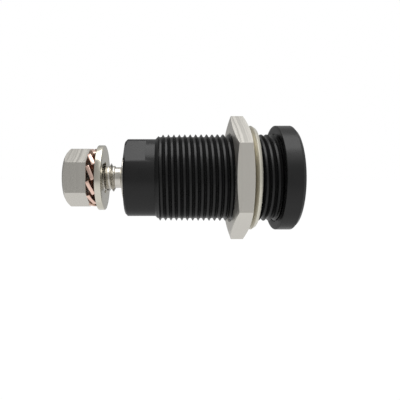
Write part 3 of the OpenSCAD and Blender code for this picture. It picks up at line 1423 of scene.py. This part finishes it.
@dataclass
class Studio:
    """White floor and backdrop, soft boxes overhead and grey cards round the object."""

    floor_z: float = -12.9 * MM
    floor_size: float = 4.0
    floor_glow: float = 0.991
    floor_colour: float = 0.02
    ambient: float = 0.8
    card_centre: float = -13 * MM
    card_radius: float = 75 * MM
    card_lift: float = 0.3 * MM
    card_step: float = math.radians(5)

    BOXES = (
        SoftBox(
            name="top_box", centre=(18 * MM, -25 * MM, 100 * MM), width=138 * MM, depth=88 * MM,
            radiance=2.4, turn=math.radians(-26),
        ),
        SoftBox(
            name="left_box", centre=(-56 * MM, -10 * MM, 100 * MM), width=36 * MM, depth=76 * MM,
            radiance=0.9, turn=0.0,
        ),
    )
    WALLS = (
        CardWall(
            name="front_cards", start=math.radians(-75), end=math.radians(75), height=140 * MM,
            foot=Ramp(span=(-88 * MM, 62 * MM), glows=(0.28, 0.73)),
            top=Ramp(span=(-40 * MM, 30 * MM), glows=(0.42, 1.75)),
            rise=(30 * MM, 64 * MM),
        ),
        CardWall(
            name="back_cards", start=math.radians(75), end=math.radians(285), height=160 * MM,
            foot=Ramp(span=(-88 * MM, 62 * MM), glows=(0.27, 0.63)),
            top=Ramp(span=(-88 * MM, 62 * MM), glows=(0.62, 0.92)),
            rise=(40 * MM, 110 * MM),
        ),
    )
    APRONS = (
        Apron(name="outer_apron", near=-75 * MM, far=-15 * MM, glows=(0.4, 0.9)),
        Apron(name="front_apron", near=-15 * MM, far=-2 * MM, glows=(0.9, 0.9)),
        Apron(name="middle_apron", near=-2 * MM, far=24 * MM, glows=(0.8, 0.8)),
        Apron(name="back_apron", near=24 * MM, far=75 * MM, glows=(0.5, 0.5)),
    )

    @staticmethod
    def seen_directly(desk: NodeDesk) -> bpy.types.NodeSocket:
        """Mask of the rays that see the background itself: camera, glossy and transmission rays."""
        path = desk.add("ShaderNodeLightPath").outputs
        glossy = desk.math("MAXIMUM", path["Is Glossy Ray"], path["Is Transmission Ray"])
        return desk.math("MAXIMUM", path["Is Camera Ray"], glossy)

    def build_world(self) -> None:
        """Sets a white backdrop that lights the object softly."""
        world = bpy.data.worlds.new("studio")
        world.use_nodes = True
        bpy.context.scene.world = world
        desk = NodeDesk(world.node_tree)
        background = world.node_tree.nodes["Background"]
        background.inputs["Color"].default_value = (1, 1, 1, 1)
        seen = self.seen_directly(desk)
        desk.feed(background.inputs["Strength"], desk.remap(seen, (self.ambient, 1.0)))

    @staticmethod
    def glowing(name: str, colour: float) -> tuple[bpy.types.Material, NodeDesk, bpy.types.NodeSocket]:
        """Makes a dull white-glowing material.

        Args:
            name: Name of the material.
            colour: Grey of its own surface.

        Returns:
            The material, a desk on its nodes and the socket for the strength of its glow.
        """
        material, desk, shader = new_material(name)
        shader.inputs["Base Color"].default_value = (colour, colour, colour, 1)
        shader.inputs["Roughness"].default_value = 1.0
        shader.inputs["Specular IOR Level"].default_value = 0.0
        shader.inputs["Emission Color"].default_value = (1, 1, 1, 1)
        return material, desk, shader.inputs["Emission Strength"]

    @staticmethod
    def sheet(
        name: str, points: list[Point], faces: list[tuple[int, ...]], material: bpy.types.Material
    ) -> bpy.types.Object:
        """Makes a stage object of plain faces.

        Args:
            name: Name of the object.
            points: Its corners.
            faces: Its faces, as indices of the corners.
            material: Its material.

        Returns:
            The object.
        """
        mesh = bpy.data.meshes.new(name)
        mesh.from_pydata(points, [], faces)
        mesh.materials.append(material)
        thing = bpy.data.objects.new(name, mesh)
        bpy.context.scene.collection.objects.link(thing)
        return thing

    def build_floor(self) -> bpy.types.Object:
        """Builds the floor, which looks white and keeps a faint shadow.

        Returns:
            The floor.
        """
        half = self.floor_size / 2
        corners = [(-half, -half), (half, -half), (half, half), (-half, half)]
        material, desk, strength = self.glowing("floor", self.floor_colour)
        desk.feed(strength, desk.remap(self.seen_directly(desk), (self.ambient, self.floor_glow)))
        return self.sheet("floor", [(x, y, self.floor_z) for x, y in corners], [(0, 1, 2, 3)], material)

    @staticmethod
    def only_mirrored(card: bpy.types.Object) -> bpy.types.Object:
        """Leaves a card to glossy rays alone."""
        for rays in ("visible_camera", "visible_diffuse", "visible_shadow"):
            setattr(card, rays, False)
        return card

    def build_wall(self, wall: CardWall) -> bpy.types.Object:
        """Builds part of the ring of grey cards that the metal and the plastic mirror.

        Args:
            wall: Its place and brightness.

        Returns:
            The cards, which the camera doesn't see.
        """
        points, faces = [], []
        steps = round((wall.end - wall.start) / self.card_step)
        for step in range(steps + 1):
            angle = wall.start + step * self.card_step
            x = self.card_centre + self.card_radius * math.sin(angle)
            y = -self.card_radius * math.cos(angle)
            points += [(x, y, self.floor_z), (x, y, wall.height)]
        for step in range(steps):
            faces.append((2 * step, 2 * step + 2, 2 * step + 3, 2 * step + 1))
        material, desk, strength = self.glowing(wall.name, 0.0)
        place = desk.split(desk.add("ShaderNodeTexCoord").outputs["Object"])
        foot, top = (desk.remap(place["X"], ramp.glows, ramp.span) for ramp in (wall.foot, wall.top))
        desk.feed(strength, desk.remap(place["Z"], (foot, top), wall.rise))
        return self.only_mirrored(self.sheet(wall.name, points, faces, material))

    def build_apron(self, apron: Apron) -> bpy.types.Object:
        """Lays a grey card on the floor.

        Args:
            apron: The card's place and brightness.

        Returns:
            The card, which the camera doesn't see.
        """
        reach = self.card_radius
        level = self.floor_z + self.card_lift
        corners = [(-reach, apron.near), (reach, apron.near), (reach, apron.far), (-reach, apron.far)]
        points = [(self.card_centre + x, y, level) for x, y in corners]
        material, desk, strength = self.glowing(apron.name, 0.0)
        place = desk.split(desk.add("ShaderNodeTexCoord").outputs["Object"])
        desk.feed(strength, desk.remap(place["Y"], apron.glows, (apron.near, apron.far)))
        return self.only_mirrored(self.sheet(apron.name, points, [(0, 1, 2, 3)], material))

    def build(self) -> None:
        """Builds the whole studio."""
        bpy.context.scene.view_settings.view_transform = "Standard"
        self.build_world()
        for box in self.BOXES:
            box.build()
        self.build_floor()
        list(map(self.build_wall, self.WALLS))
        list(map(self.build_apron, self.APRONS))
        LOG.info("studio built")


@dataclass(frozen=True)
class PhotoView:
    """The photograph's viewpoint: level with the axis, square to it and close."""

    place: Point = (-14.4 * MM, -58.0 * MM, 0.0)
    focal_pixels: float = 415.0
    principal: Span = (170.0, 177.6)
    image: float = 400.0
    sensor: float = 36.0
    clip_start: float = 1 * MM

    def build(self) -> None:
        """Sets the camera."""
        camera = bpy.data.cameras.new("photo_view")
        camera.sensor_width = self.sensor
        camera.lens = self.focal_pixels / self.image * self.sensor
        camera.shift_x = 0.5 - self.principal[0] / self.image
        camera.shift_y = self.principal[1] / self.image - 0.5
        camera.clip_start = self.clip_start
        holder = bpy.data.objects.new("photo_view", camera)
        holder.location = self.place
        holder.rotation_euler = (math.pi / 2, 0, 0)
        bpy.context.scene.collection.objects.link(holder)
        bpy.context.scene.camera = holder


def main() -> None:
    """Builds the studio, the camera and every piece of the socket."""
    logging.basicConfig(level=logging.INFO, format="%(name)s: %(message)s")
    PhotoView().build()
    Studio().build()
    rack = FinishRack()
    pieces: list[SocketPiece] = [
        InsulatingBody(),
        Contact(),
        HexNut(
            node="panel_nut", body="panel_nut", thread=BODY_THREAD,
            front_bevel=math.radians(12.5), rear_bevel=math.radians(12.5), face_inset=0.1 * MM,
        ),
        StampedRing(
            node="panel_washer", body="panel_washer", hole_radius=6.1 * MM,
            edge=0.015 * MM, sheet=0.55 * MM, cone=math.radians(32),
        ),
        HexNut(
            node="terminal_nut", body="terminal_nut", thread=STUD_THREAD,
            front_bevel=0.0, rear_bevel=math.radians(30), face_inset=0.3 * MM,
        ),
        ToothLockWasher(),
        StampedRing(
            node="flat_washer", body="terminal_washers", hole_radius=2.15 * MM,
            edge=0.08 * MM, sheet=0.85 * MM,
        ),
    ]
    for piece in pieces:
        piece.build(rack)


if __name__ == "__main__":
    main()
